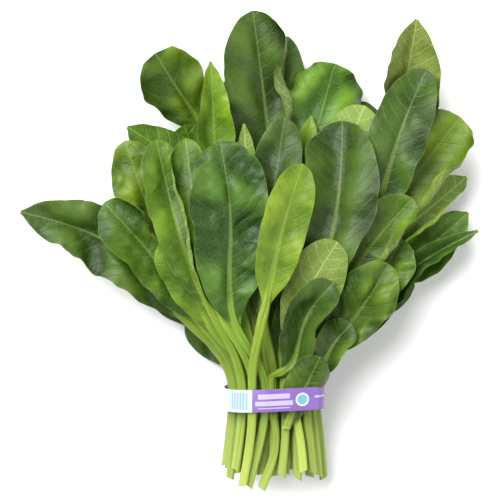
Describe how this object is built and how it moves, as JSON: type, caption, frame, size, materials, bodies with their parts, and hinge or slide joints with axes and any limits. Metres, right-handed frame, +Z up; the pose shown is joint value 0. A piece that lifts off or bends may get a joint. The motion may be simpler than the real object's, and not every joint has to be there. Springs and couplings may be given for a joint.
{
  "type": "spinach bunch",
  "caption": "Bunch of fresh spinach lying on its back, its long-stalked leaves fanned out above a flat printed label band that holds the stalks together.",
  "frame": {"origin": "centre of the bounding box's underside, on the surface that the bunch lies on", "axes": "+Y along the bunch from the cut stalks to the leaf tips, +Z up, out of the bunch's front face, +X across the bunch to the right as it is seen from above with the leaf tips at the top"},
  "size_m": [0.3188, 0.3312, 0.0848],
  "materials": {
    "leaf_deep": "dark grey-green spinach leaf, satin, with a paler yellow-green stalk",
    "leaf_green": "mid green spinach leaf, satin, with a paler yellow-green stalk",
    "leaf_bright": "young yellow-green spinach leaf, satin, with a pale stalk",
    "label_band": "glossy coated paper, printed purple with one white end, no wording"
  },
  "bodies": {
    "root": {"leaf_back_left": "leaf_deep", "leaf_back_right": "leaf_green", "leaf_back_upper_left": "leaf_deep", "leaf_back_upper_right": "leaf_green", "leaf_left_low_small": "leaf_deep", "leaf_back_far_left": "leaf_green", "leaf_back_far_right": "leaf_deep", "leaf_back_side_right": "leaf_green", "leaf_back_top_left": "leaf_green", "leaf_back_top_right": "leaf_deep", "leaf_left_dark": "leaf_deep", "leaf_top_left_curled": "leaf_green", "leaf_inner_left": "leaf_green", "leaf_top_dark": "leaf_deep", "leaf_top_ruffled": "leaf_green", "leaf_right_pointed": "leaf_green", "leaf_right_pale": "leaf_bright", "leaf_top_right_bright": "leaf_bright", "leaf_left_pointed": "leaf_green", "leaf_left_crinkled": "leaf_bright", "leaf_left_long": "leaf_deep", "leaf_top_left_sliver": "leaf_bright", "leaf_top_folded": "leaf_deep", "leaf_upper_small_tip": "leaf_bright", "leaf_upper_arc": "leaf_bright", "leaf_right_broad": "leaf_bright", "leaf_right_long": "leaf_deep", "leaf_left_turned": "leaf_green", "leaf_left_low_bright": "leaf_bright", "leaf_top_left_bright": "leaf_bright", "leaf_small_pale": "leaf_bright", "leaf_inner_centre": "leaf_green", "leaf_right_dark_oblong": "leaf_deep", "leaf_right_crinkled": "leaf_green", "leaf_right_round": "leaf_green", "leaf_left_bright": "leaf_green", "leaf_left_rolled": "leaf_green", "leaf_right_low_crinkled": "leaf_green", "leaf_front_low_dark": "leaf_deep", "leaf_front_right_oval": "leaf_deep", "leaf_front_upper": "leaf_deep", "leaf_front_centre": "leaf_deep", "leaf_right_low_wavy": "leaf_deep", "leaf_front_right_ribbed": "leaf_bright", "leaf_front_bright": "leaf_bright", "leaf_front_boat": "leaf_deep", "leaf_under_band": "leaf_deep", "label_band": "label_band"}
  },
  "joints": []
}
